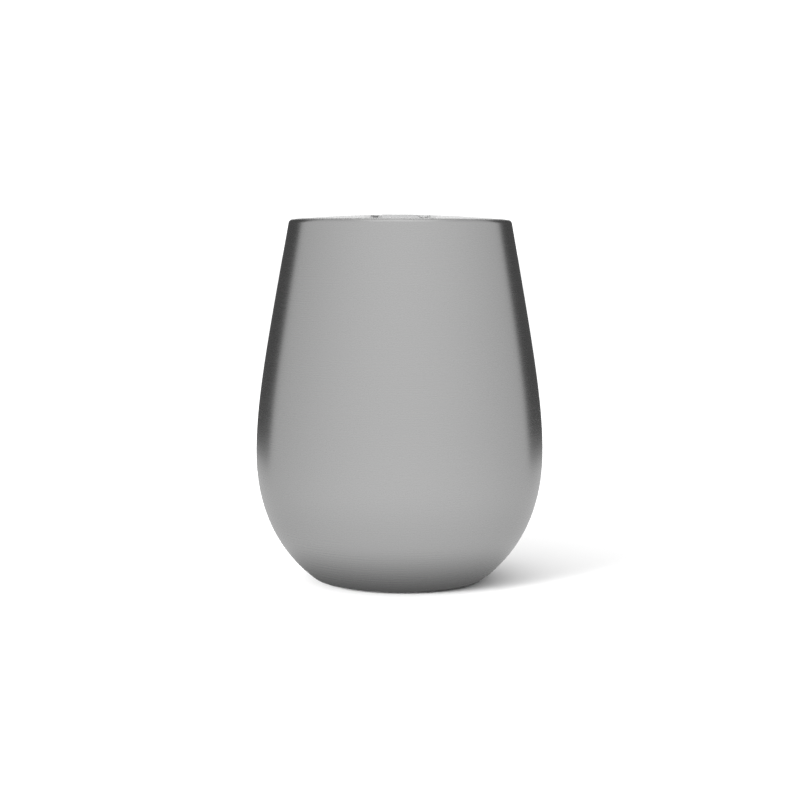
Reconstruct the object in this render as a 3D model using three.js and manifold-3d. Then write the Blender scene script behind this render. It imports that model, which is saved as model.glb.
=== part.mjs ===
// An insulated steel wine tumbler: an egg-shaped double wall closed by a pressed base, and a clear
// press-in lid with a slide closure. Millimetres, +Z up. The origin is on the table, under the middle
// of the base, and the sip opening faces -Y.
import * as THREE from "three";
import { mergeVertices } from "three/addons/utils/BufferGeometryUtils.js";
import Module from "manifold-3d";

const wasm = await Module();
wasm.setup();

// Outside of the tumbler: two curves that meet upright at the belly
const LIP_HEIGHT = 111.8; // crest of the lip above the table
const LIP_RADIUS = 34.4; // outside of the wall where the lip's rounding begins
const LIP_TAPER = 10.3; // degrees by which the wall leans in at the lip
const LIP_REACH = 38.6; // how far the upper curve keeps that lean
const BELLY_RADIUS = 44.5;
const BELLY_HEIGHT = 39.6;
const BELLY_REACH_UP = 15.9; // how far the wall stays upright above the belly
const BELLY_REACH_DOWN = 21.2; // and below it
const FOOT_RADIUS = 26.6; // corner between the wall and the flat of the foot
const FOOT_SLOPE = 37.5; // degrees by which the wall rises from the foot
const FOOT_REACH = 10.3; // how far the lower curve keeps that slope
const FOOT_ROUND = 1.5; // rounding of the foot's corner
const FOOT_LAND = 2.6; // width of the flat ring of the foot
const FOOT_GAP = 0.6; // how far the pad lifts the steel off the table

// Walls
const SHELL_WALL = 0.7;
const LINER_WALL = 0.6;
const VACUUM_GAP = 4; // between the two walls at the belly

// Lip: the outer wall is hemmed over and countersunk for the lid
const LIP_ROUND = 1.4;
const LIP_CREST = 0.1; // flat width of the crest
const LIP_BEVEL = 1; // depth and width of the countersink
const HEM_LEG = 1.2; // upright leg of the hem, inside the mouth

// Liner: a straight neck for the lid, then a bowl
const NECK_DEPTH = 12; // end of the straight neck below the crest
const NECK_REACH = 20; // how far the bowl keeps upright below the neck
const BOWL_REACH_UP = 20; // how far the bowl keeps upright above the belly
const BOWL_REACH_DOWN = 20; // and below it
const FLOOR_RADIUS = 16; // flat floor of the bowl
const FLOOR_REACH = 13; // how far the floor's level runs into the bowl's curve

// Base: pan, vacuum port, getter, cover and pad
const BASE_WALL = 0.7;
const BASE_RECESS = 2.8; // depth of the pan, open to below
const BASE_ROUND = 1.6; // outside rounding of the pan's rim
const BASE_ROOM = 4.4; // vacuum space between the pan and the liner's floor
const DIMPLE_RADIUS = 4.5;
const DIMPLE_RISE = 1;
const PORT_RADIUS = 1.2;
const SEAL_RADIUS = 2.8;
const SEAL_RIM = 0.4; // thickness at the bead's edge
const SEAL_BULGE = 0.6; // how far the bead's middle stands below its edge
const GETTER_RADIUS = 4;
const GETTER_HEIGHT = 1.6;
const GETTER_OFFSET = 13; // from the axis
const CLIP_WALL = 0.4;
const CLIP_WIDTH = 3;
const CLIP_FOOT = 2;
const COVER_WALL = 0.6;
const COVER_FACE = 13.5; // radius of the cover's pressed face
const COVER_DROP = 1.2; // how far that face is pressed down
const PAD_CHAMFER = 0.4;

// Lid: dome, flange, plug and gasket
const LID_CROWN = 1.43; // rise of the dome from its edge to its middle
const LID_EDGE = 0.1; // height of the dome's edge above the lip
const LID_LAND = 0.3; // upright edge of the flange
const LID_WALL = 1.8;
const PLUG_DEPTH = 10; // below the lip
const PLUG_WALL = 3.2;
const PLUG_FIT = 0.4; // all round, between the plug and the neck
const GROOVE_DROP = 3.4; // top of the groove below the lip
const GROOVE_HEIGHT = 3.8;
const GROOVE_DEPTH = 1.6;
const GASKET_WALL = 0.9; // band between the gasket's fins
const FIN_HEIGHT = 0.9;
const SEAL_FIT = 0.15; // between the gasket's fins and the neck

// Slide closure: track, T-shaped rails, sip opening and slider
const TRACK_DEPTH = 1.3; // floor of the track below the lip
const TRACK_WALL = 1.4;
const TRACK_ROOM = 0.6; // between a rail's cap and the track's side
const TRACK_FRONT = 2.6; // wall left between the track and the plug's outside
const TRACK_CORNER = 2; // rounding of the track's rear corners
const RAIL_OFFSET = 7.1; // middle of each rail from the lid's middle
const RAIL_STEM = 0.8;
const RAIL_CAP = 2.5;
const RAIL_CAP_HEIGHT = 0.5;
const RAIL_SETBACK = 2.5; // from the sip opening to the rails
const SIP_LENGTH = 5.5; // front to back
const SIP_CORNER = 1.6;
const SIP_COVER = 1.2; // how far the closed slider laps over the opening
const SLIDER_LENGTH = 28;
const TONGUE_HEIGHT = 1.3;
const GRIP_LENGTH = 14;
const GRIP_SETBACK = 2; // from the slider's rear end to its grip
const GRIP_PROUD = 0.32; // ribs of the grip above the rails
const RIB_COUNT = 4;
const RIB_HEIGHT = 0.3;
const VENT_RADIUS = 1.1;
const VENT_OFFSET = 20; // behind the lid's middle

// Clearances and facets
const SEAT_GAP = 0.2; // between faces that are welded, glued or rest on each other
const LID_SEAT = 0.3; // upright, between the flange and the countersink
const SLIDE_FIT = 0.3; // all round the slider
const SIDES = 48; // facets round the axis
const CUT_MARGIN = 1; // how far a cutter runs past what it cuts

const radians = THREE.MathUtils.degToRad;

// Heights and radii that several pieces share
const lipTaper = radians(LIP_TAPER);
const lipCentre = LIP_RADIUS - LIP_ROUND * Math.cos(lipTaper);
const wallTop = LIP_HEIGHT - LIP_ROUND + LIP_ROUND * Math.sin(lipTaper);
const crestInner = lipCentre - LIP_CREST;
const neckRadius = crestInner - LIP_BEVEL;
const hemBottom = LIP_HEIGHT - LIP_BEVEL - HEM_LEG;
const footOpening = FOOT_RADIUS - FOOT_LAND;
const panRadius = footOpening - SEAT_GAP;
const panUnder = FOOT_GAP + BASE_RECESS;
const panTop = panUnder + BASE_WALL;
const coverTop = panUnder - SEAT_GAP;
const coverUnder = coverTop - COVER_WALL;
const recessRadius = panRadius - BASE_WALL - SEAT_GAP;
const coverRadius = recessRadius - (BASE_ROUND - BASE_WALL);
const plugRadius = neckRadius - PLUG_FIT;

// Places along the slide track, on the lid's middle line
const trackReach = plugRadius - TRACK_FRONT;
const trackHalf = RAIL_OFFSET + RAIL_CAP / 2 + TRACK_ROOM;
const tongueHalf = RAIL_OFFSET - RAIL_STEM / 2 - SLIDE_FIT;
const gripHalf = RAIL_OFFSET - RAIL_CAP / 2 - SLIDE_FIT;
const sliderReach = trackReach - SLIDE_FIT;
const sliderRear = SLIDER_LENGTH - sliderReach;
const sipFront = SIP_COVER - Math.sqrt(sliderReach ** 2 - tongueHalf ** 2);
const sipRear = sipFront + SIP_LENGTH;
const slideTravel = sipRear + SIP_COVER + sliderReach;
const trackRear = sliderRear + slideTravel + SLIDE_FIT;
const railFront = sipRear + RAIL_SETBACK;
const tongueUnder = SLIDE_FIT - TRACK_DEPTH;
const tongueTop = tongueUnder + TONGUE_HEIGHT;
const capUnder = tongueTop + SLIDE_FIT;
const capTop = capUnder + RAIL_CAP_HEIGHT;

// Points of a circular arc, in degrees, first and last included
function arc(radius, height, size, from, to, steps) {
  return Array.from({ length: steps + 1 }, (_, i) => {
    const angle = radians(from + ((to - from) * i) / steps);
    return [radius + size * Math.cos(angle), height + size * Math.sin(angle)];
  });
}

function bezier(...points) {
  return new THREE.CubicBezierCurve(...points.map(([r, z]) => new THREE.Vector2(r, z)));
}

// The point of a wall's curve that lies `depth` inside it, for a curve that runs upwards
function insidePoint(curve, t, depth) {
  const point = curve.getPoint(t);
  const along = curve.getTangent(t);
  return [point.x - along.y * depth, point.y + along.x * depth];
}

function insideCurve(curve, depth, steps, end = 1) {
  return Array.from({ length: steps + 1 }, (_, i) => insidePoint(curve, (end * i) / steps, depth));
}

// Where a wall's inside, `depth` in from its curve, reaches a height
function insideAtHeight(curve, depth, height) {
  let low = 0;
  let high = 1;
  for (let i = 0; i < 40; i++) {
    const middle = (low + high) / 2;
    if (insidePoint(curve, middle, depth)[1] < height) low = middle;
    else high = middle;
  }
  return low;
}

// A solid of revolution from [radius, height] pairs that run anticlockwise round the section. A section
// that starts on the axis ends on it, and any other is closed here.
function revolve(section) {
  const closed = section[0][0] === 0 ? section : [...section, section[0]];
  const points = closed.map(([r, z]) => new THREE.Vector2(r, z));
  return new THREE.LatheGeometry(points, SIDES).rotateX(Math.PI / 2);
}

// A plan outline in X and Y, raised from one height to another
function raise(plan, bottom, top) {
  const options = { depth: top - bottom, bevelEnabled: false, curveSegments: 4 };
  return new THREE.ExtrudeGeometry(plan, options).translate(0, 0, bottom);
}

// A section in X and Z, drawn along Y from front to rear
function drawBack(section, front, rear) {
  const options = { depth: rear - front, bevelEnabled: false, curveSegments: 4 };
  return new THREE.ExtrudeGeometry(section, options).rotateX(Math.PI / 2).translate(0, rear, 0);
}

function polygon(points) {
  return new THREE.Shape(points.map(([x, y]) => new THREE.Vector2(x, y)));
}

// A box in plan whose front end is an arc about the lid's middle and whose rear corners are rounded
function trackPlan(half, reach, rear, corner) {
  const side = Math.asin(half / reach);
  const plan = new THREE.Shape();
  plan.absarc(0, 0, reach, -Math.PI / 2 - side, -Math.PI / 2 + side, false);
  plan.lineTo(half, rear - corner);
  plan.absarc(half - corner, rear - corner, corner, 0, Math.PI / 2, false);
  plan.absarc(corner - half, rear - corner, corner, Math.PI / 2, Math.PI, false);
  plan.closePath();
  return plan;
}

// Conversions to and from a solid that can be joined and cut
function solid(geometry) {
  const bare = geometry.clone();
  bare.deleteAttribute("normal");
  bare.deleteAttribute("uv");
  const merged = mergeVertices(bare, 1e-4);
  const index = merged.index.array;
  const triVerts = [];
  for (let i = 0; i < index.length; i += 3) {
    const [a, b, c] = index.slice(i, i + 3);
    if (a !== b && b !== c && c !== a) triVerts.push(a, b, c);
  }
  const vertProperties = merged.attributes.position.array;
  return new wasm.Manifold(
    new wasm.Mesh({ numProp: 3, vertProperties, triVerts: new Uint32Array(triVerts) }),
  );
}

function geometryOf(body) {
  const mesh = body.getMesh();
  const geometry = new THREE.BufferGeometry();
  geometry.setAttribute("position", new THREE.BufferAttribute(mesh.vertProperties, 3));
  geometry.setIndex(new THREE.BufferAttribute(mesh.triVerts, 1));
  geometry.computeVertexNormals();
  return geometry;
}

function piece(name, geometry, finish) {
  const mesh = new THREE.Mesh(geometry, new THREE.MeshStandardMaterial(finish));
  mesh.name = name;
  return mesh;
}

// Finishes
const brushedSteel = { color: 0xa9a9a9, roughness: 0.35, metalness: 1 };
const polishedSteel = { color: 0xc4c4c4, roughness: 0.18, metalness: 1 };
const pressedSteel = { color: 0x9b9b9b, roughness: 0.45, metalness: 1 };
const solderGlass = { color: 0x3c3f3a, roughness: 0.3, metalness: 0 };
const getterMetal = { color: 0x55565a, roughness: 0.8, metalness: 0.6 };
const clearPlastic = { color: 0xe3e6e6, roughness: 0.08, metalness: 0, transparent: true, opacity: 0.4 };
const paleSilicone = { color: 0xd9dbd8, roughness: 0.6, metalness: 0 };
const darkSilicone = { color: 0x2b2c2e, roughness: 0.75, metalness: 0 };

// Outer wall

const footTangent = FOOT_ROUND * Math.tan(radians(FOOT_SLOPE) / 2);
const footAlong = [Math.cos(radians(FOOT_SLOPE)), Math.sin(radians(FOOT_SLOPE))];
const upFoot = (distance) => [
  FOOT_RADIUS + footAlong[0] * distance,
  FOOT_GAP + footAlong[1] * distance,
];
const lowerWall = bezier(
  upFoot(footTangent),
  upFoot(FOOT_REACH),
  [BELLY_RADIUS, BELLY_HEIGHT - BELLY_REACH_DOWN],
  [BELLY_RADIUS, BELLY_HEIGHT],
);
const upperWall = bezier(
  [BELLY_RADIUS, BELLY_HEIGHT],
  [BELLY_RADIUS, BELLY_HEIGHT + BELLY_REACH_UP],
  [LIP_RADIUS + LIP_REACH * Math.sin(lipTaper), wallTop - LIP_REACH * Math.cos(lipTaper)],
  [LIP_RADIUS, wallTop],
);

function outerShell() {
  const footCentre = [FOOT_RADIUS - footTangent, FOOT_GAP + FOOT_ROUND];
  const footFrom = -90;
  const footTo = FOOT_SLOPE - 90;
  const hemEnd = insideAtHeight(upperWall, SHELL_WALL, hemBottom);
  return revolve([
    [footOpening, FOOT_GAP],
    ...arc(...footCentre, FOOT_ROUND, footFrom, footTo, 3),
    ...insideCurve(lowerWall, 0, 8).slice(1),
    ...insideCurve(upperWall, 0, 9).slice(1),
    ...arc(lipCentre, LIP_HEIGHT - LIP_ROUND, LIP_ROUND, LIP_TAPER, 90, 3).slice(1),
    [crestInner, LIP_HEIGHT],
    [neckRadius, LIP_HEIGHT - LIP_BEVEL],
    [neckRadius, hemBottom],
    ...insideCurve(upperWall, SHELL_WALL, 7, hemEnd).reverse(),
    ...insideCurve(lowerWall, SHELL_WALL, 6).reverse().slice(1),
    ...arc(...footCentre, FOOT_ROUND - SHELL_WALL, footTo, footFrom, 2).slice(1),
    [footOpening, FOOT_GAP + SHELL_WALL],
  ]);
}

// Inner cup: outside curve from the floor to the neck, then the inside back down

function innerLiner() {
  const outside = neckRadius + LINER_WALL;
  const bowlRadius = BELLY_RADIUS - SHELL_WALL - VACUUM_GAP;
  const neckTop = hemBottom - SEAT_GAP;
  const neckEnd = LIP_HEIGHT - NECK_DEPTH;
  const floor = panTop + BASE_ROOM;
  const lower = bezier(
    [FLOOR_RADIUS, floor],
    [FLOOR_RADIUS + FLOOR_REACH, floor],
    [bowlRadius, BELLY_HEIGHT - BOWL_REACH_DOWN],
    [bowlRadius, BELLY_HEIGHT],
  );
  const upper = bezier(
    [bowlRadius, BELLY_HEIGHT],
    [bowlRadius, BELLY_HEIGHT + BOWL_REACH_UP],
    [outside, neckEnd - NECK_REACH],
    [outside, neckEnd],
  );
  return revolve([
    [0, floor],
    ...insideCurve(lower, 0, 7),
    ...insideCurve(upper, 0, 7).slice(1),
    [outside, neckTop],
    [neckRadius, neckTop],
    ...insideCurve(upper, LINER_WALL, 7).reverse(),
    ...insideCurve(lower, LINER_WALL, 7).reverse().slice(1),
    [0, floor + LINER_WALL],
  ]);
}

// Base

const dimpleUnder = panUnder + DIMPLE_RISE;
const dimpleTop = panTop + DIMPLE_RISE;

function basePlate() {
  const rimCentre = [panRadius - BASE_ROUND, panTop - BASE_ROUND];
  return revolve([
    [panRadius - BASE_WALL, FOOT_GAP],
    [panRadius, FOOT_GAP],
    ...arc(...rimCentre, BASE_ROUND, 0, 90, 3),
    [DIMPLE_RADIUS + DIMPLE_RISE, panTop],
    [DIMPLE_RADIUS, dimpleTop],
    [PORT_RADIUS, dimpleTop],
    [PORT_RADIUS, dimpleUnder],
    [DIMPLE_RADIUS, dimpleUnder],
    [DIMPLE_RADIUS + DIMPLE_RISE, panUnder],
    ...arc(...rimCentre, BASE_ROUND - BASE_WALL, 90, 0, 3),
  ]);
}

function vacuumSeal() {
  const stem = PORT_RADIUS - SEAT_GAP;
  const rimTop = dimpleUnder - SEAT_GAP;
  const rimUnder = rimTop - SEAL_RIM;
  const steps = 4;
  const bulge = Array.from({ length: steps }, (_, i) => {
    const angle = (Math.PI / 2) * (i / steps);
    return [SEAL_RADIUS * Math.sin(angle), rimUnder - SEAL_BULGE * Math.cos(angle)];
  });
  return revolve([
    ...bulge,
    [SEAL_RADIUS, rimUnder],
    [SEAL_RADIUS, rimTop],
    [stem, rimTop],
    [stem, dimpleTop],
    [0, dimpleTop],
  ]);
}

function getter() {
  const pellet = new THREE.CylinderGeometry(GETTER_RADIUS, GETTER_RADIUS, GETTER_HEIGHT, 24);
  const middle = panTop + SEAT_GAP + GETTER_HEIGHT / 2;
  return pellet.rotateX(Math.PI / 2).translate(GETTER_OFFSET, 0, middle);
}

// A strap bent over the pellet, with a foot on each side
function getterClip() {
  const inner = GETTER_RADIUS + SEAT_GAP;
  const outer = inner + CLIP_WALL;
  const toe = outer + CLIP_FOOT;
  const under = panTop + SEAT_GAP;
  const bridge = under + GETTER_HEIGHT + SEAT_GAP;
  const section = polygon([
    [-toe, under],
    [-inner, under],
    [-inner, bridge],
    [inner, bridge],
    [inner, under],
    [toe, under],
    [toe, under + CLIP_WALL],
    [outer, under + CLIP_WALL],
    [outer, bridge + CLIP_WALL],
    [-outer, bridge + CLIP_WALL],
    [-outer, under + CLIP_WALL],
    [-toe, under + CLIP_WALL],
  ]);
  return drawBack(section, -CLIP_WIDTH / 2, CLIP_WIDTH / 2).translate(GETTER_OFFSET, 0, 0);
}

function baseCover() {
  const face = coverUnder - COVER_DROP;
  return revolve([
    [0, face],
    [COVER_FACE, face],
    [COVER_FACE + COVER_DROP, coverUnder],
    [coverRadius, coverUnder],
    [coverRadius, coverTop],
    [COVER_FACE + COVER_DROP, coverTop],
    [COVER_FACE, face + COVER_WALL],
    [0, face + COVER_WALL],
  ]);
}

function footPad() {
  const inner = COVER_FACE + COVER_DROP + SEAT_GAP;
  const top = coverUnder - SEAT_GAP;
  return revolve([
    [inner + PAD_CHAMFER, 0],
    [recessRadius - PAD_CHAMFER, 0],
    [recessRadius, PAD_CHAMFER],
    [recessRadius, top],
    [inner, top],
    [inner, PAD_CHAMFER],
  ]);
}

// Lid, with heights measured from the lip

const flangeDrop = LID_LAND - LID_EDGE; // lower end of the flange's upright edge, below the lip
const flangeRadius = crestInner - LID_SEAT - flangeDrop;
const coneEnd = flangeDrop + flangeRadius - plugRadius; // the flange's cone runs at 45 degrees
const grooveRadius = plugRadius - GROOVE_DEPTH;
const grooveBottom = GROOVE_DROP + GROOVE_HEIGHT;
const plugInner = plugRadius - PLUG_WALL;

// Points of a dome from a radius in to the axis, `depth` under the lid's top
function dome(from, depth, steps) {
  return Array.from({ length: steps + 1 }, (_, i) => {
    const radius = from * (1 - i / steps);
    const rise = LID_CROWN * (1 - (radius / flangeRadius) ** 2);
    return [radius, LID_EDGE + rise - depth];
  });
}

function railSection(side) {
  const points = [
    [-RAIL_STEM / 2, -TRACK_DEPTH - TRACK_WALL / 2],
    [RAIL_STEM / 2, -TRACK_DEPTH - TRACK_WALL / 2],
    [RAIL_STEM / 2, capUnder],
    [RAIL_CAP / 2, capUnder],
    [RAIL_CAP / 2, capTop],
    [-RAIL_CAP / 2, capTop],
    [-RAIL_CAP / 2, capUnder],
    [-RAIL_STEM / 2, capUnder],
  ];
  return polygon(points.map(([x, z]) => [x + side * RAIL_OFFSET, z]));
}

function sipPlan() {
  const half = tongueHalf - SIP_COVER;
  const plan = new THREE.Shape();
  plan.absarc(half - SIP_CORNER, sipFront + SIP_CORNER, SIP_CORNER, -Math.PI / 2, 0, false);
  plan.absarc(half - SIP_CORNER, sipRear - SIP_CORNER, SIP_CORNER, 0, Math.PI / 2, false);
  plan.absarc(SIP_CORNER - half, sipRear - SIP_CORNER, SIP_CORNER, Math.PI / 2, Math.PI, false);
  plan.absarc(SIP_CORNER - half, sipFront + SIP_CORNER, SIP_CORNER, Math.PI, 1.5 * Math.PI, false);
  plan.closePath();
  return plan;
}

function lidBody() {
  const envelope = solid(
    revolve([
      [0, -PLUG_DEPTH],
      [plugRadius, -PLUG_DEPTH],
      [plugRadius, -grooveBottom],
      [grooveRadius, -grooveBottom],
      [grooveRadius, -GROOVE_DROP],
      [plugRadius, -GROOVE_DROP],
      [plugRadius, -coneEnd],
      [flangeRadius, -flangeDrop],
      ...dome(flangeRadius, 0, 6),
    ]),
  );
  const hollow = solid(
    revolve([
      [0, -PLUG_DEPTH - CUT_MARGIN],
      [plugInner, -PLUG_DEPTH - CUT_MARGIN],
      ...dome(plugInner, LID_WALL, 5),
    ]),
  );
  const lidTop = LID_EDGE + LID_CROWN + CUT_MARGIN;
  const trackUnder = -TRACK_DEPTH - TRACK_WALL;
  const outsidePlan = trackPlan(
    trackHalf + TRACK_WALL,
    trackReach + TRACK_WALL,
    trackRear + TRACK_WALL,
    TRACK_CORNER + TRACK_WALL,
  );
  const tub = solid(raise(outsidePlan, trackUnder, lidTop));
  const track = trackPlan(trackHalf, trackReach, trackRear, TRACK_CORNER);
  let body = envelope.subtract(hollow.subtract(tub));
  body = body.subtract(solid(raise(track, -TRACK_DEPTH, lidTop)));
  for (const side of [-1, 1]) {
    const railEnd = trackRear + TRACK_WALL / 2;
    body = body.add(solid(drawBack(railSection(side), railFront, railEnd)));
  }
  body = body.subtract(solid(raise(sipPlan(), trackUnder - CUT_MARGIN, 0)));
  const vent = new THREE.Shape().absarc(0, VENT_OFFSET, VENT_RADIUS, 0, 2 * Math.PI, false);
  return geometryOf(body.subtract(solid(raise(vent, -PLUG_DEPTH, lidTop))));
}

// A band with two fins that wipe the neck
function lidGasket() {
  const inner = grooveRadius + SEAT_GAP;
  const band = inner + GASKET_WALL;
  const tip = neckRadius - SEAL_FIT;
  const top = -GROOVE_DROP - SEAT_GAP;
  const bottom = SEAT_GAP - grooveBottom;
  return revolve([
    [inner, bottom],
    [band, bottom],
    [tip, bottom + FIN_HEIGHT / 2],
    [band, bottom + FIN_HEIGHT],
    [band, top - FIN_HEIGHT],
    [tip, top - FIN_HEIGHT / 2],
    [band, top],
    [inner, top],
  ]);
}

// A tongue that runs under the rails' caps, and a ribbed grip between them
function lidSlider() {
  const tonguePlan = trackPlan(tongueHalf, sliderReach, sliderRear, TRACK_CORNER);
  const tongue = solid(raise(tonguePlan, tongueUnder, tongueTop));
  const gripRear = sliderRear - GRIP_SETBACK;
  const gripFront = gripRear - GRIP_LENGTH;
  const gripTop = capTop + GRIP_PROUD;
  const pitch = GRIP_LENGTH / RIB_COUNT;
  const ribs = Array.from({ length: RIB_COUNT }, (_, i) => {
    const rear = gripRear - i * pitch;
    return [
      [rear, gripTop - RIB_HEIGHT],
      [rear - pitch / 4, gripTop],
      [rear - (3 * pitch) / 4, gripTop],
    ];
  }).flat();
  const side = polygon([
    [gripFront, tongueTop - TONGUE_HEIGHT / 2],
    [gripRear, tongueTop - TONGUE_HEIGHT / 2],
    ...ribs,
    [gripFront, gripTop - RIB_HEIGHT],
  ]);
  const options = { depth: 2 * gripHalf, bevelEnabled: false };
  const block = new THREE.ExtrudeGeometry(side, options).translate(0, 0, -gripHalf);
  return geometryOf(tongue.add(solid(block.rotateX(Math.PI / 2).rotateZ(Math.PI / 2))));
}

const tumbler = new THREE.Group();
tumbler.add(
  piece("outer_shell", outerShell(), brushedSteel),
  piece("inner_liner", innerLiner(), polishedSteel),
  piece("base_plate", basePlate(), pressedSteel),
  piece("vacuum_seal", vacuumSeal(), solderGlass),
  piece("getter", getter(), getterMetal),
  piece("getter_clip", getterClip(), pressedSteel),
  piece("base_cover", baseCover(), brushedSteel),
  piece("foot_pad", footPad(), darkSilicone),
);

const lid = new THREE.Group();
lid.position.z = LIP_HEIGHT;
lid.add(
  piece("lid_body", lidBody(), clearPlastic),
  piece("lid_gasket", lidGasket(), paleSilicone),
  piece("lid_slider", lidSlider(), clearPlastic),
);
tumbler.add(lid);

export default tumbler;
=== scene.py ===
"""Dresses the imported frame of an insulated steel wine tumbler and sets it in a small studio.

Lengths are metres and +Z is up. The tumbler stands on the floor at the origin, and the sip opening of its
lid faces -Y, towards the camera.
"""

from __future__ import annotations

import logging
import math
from dataclasses import dataclass
from enum import Enum
from typing import Any

import bmesh
import bpy
from mathutils import Matrix, Vector
from mathutils.geometry import interpolate_bezier


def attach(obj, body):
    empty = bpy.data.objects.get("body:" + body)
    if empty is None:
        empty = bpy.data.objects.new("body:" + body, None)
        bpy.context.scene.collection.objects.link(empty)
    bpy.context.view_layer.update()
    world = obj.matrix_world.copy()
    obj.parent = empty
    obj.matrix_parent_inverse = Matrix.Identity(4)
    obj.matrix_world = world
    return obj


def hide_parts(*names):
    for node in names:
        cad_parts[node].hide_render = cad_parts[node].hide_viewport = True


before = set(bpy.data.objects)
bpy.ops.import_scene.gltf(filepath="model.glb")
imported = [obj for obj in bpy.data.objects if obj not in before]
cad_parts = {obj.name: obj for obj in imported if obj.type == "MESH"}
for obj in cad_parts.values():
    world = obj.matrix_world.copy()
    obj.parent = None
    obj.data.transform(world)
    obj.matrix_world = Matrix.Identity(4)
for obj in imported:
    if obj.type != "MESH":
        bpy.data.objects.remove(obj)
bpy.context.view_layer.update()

log = logging.getLogger("wine_tumbler")

Point = tuple[float, float]
Span = tuple[float, float]
Colour = tuple[float, float, float]
Place = tuple[float, float, float]
Corner = tuple[float, ...]
Shape = bmesh.types.BMesh
Piece = bpy.types.Object
Material = bpy.types.Material
Node = bpy.types.Node
Socket = bpy.types.NodeSocket


# Shaders

PRINCIPLED = "ShaderNodeBsdfPrincipled"
COLOUR_MIX = {"data_type": "RGBA"}
SOFT_STEP = {"interpolation_type": "SMOOTHSTEP"}
# How much weaker each finer layer of a noise pattern is than the one before.
NOISE_FALL = 0.55


@dataclass
class Wire:
    """An output of a shader node that takes part in Python arithmetic."""

    shader: Shader
    socket: Socket

    def __add__(self, other: Wire | float) -> Wire:
        """Adds a value or another wire."""
        return self.shader.maths("ADD", self, other)

    def __sub__(self, other: Wire | float) -> Wire:
        """Takes a value or another wire away."""
        return self.shader.maths("SUBTRACT", self, other)

    def __rsub__(self, other: float) -> Wire:
        """Takes this wire away from a value on the left."""
        return self.shader.maths("SUBTRACT", other, self)

    def __mul__(self, other: Wire | float) -> Wire:
        """Multiplies by a value or another wire."""
        return self.shader.maths("MULTIPLY", self, other)

    def __truediv__(self, other: Wire | float) -> Wire:
        """Divides by a value or another wire."""
        return self.shader.maths("DIVIDE", self, other)

    def swing(self, amount: float) -> Wire:
        """How far a pattern lies from its middle, 0.5, times an amount."""
        return (self - 0.5) * amount


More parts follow.
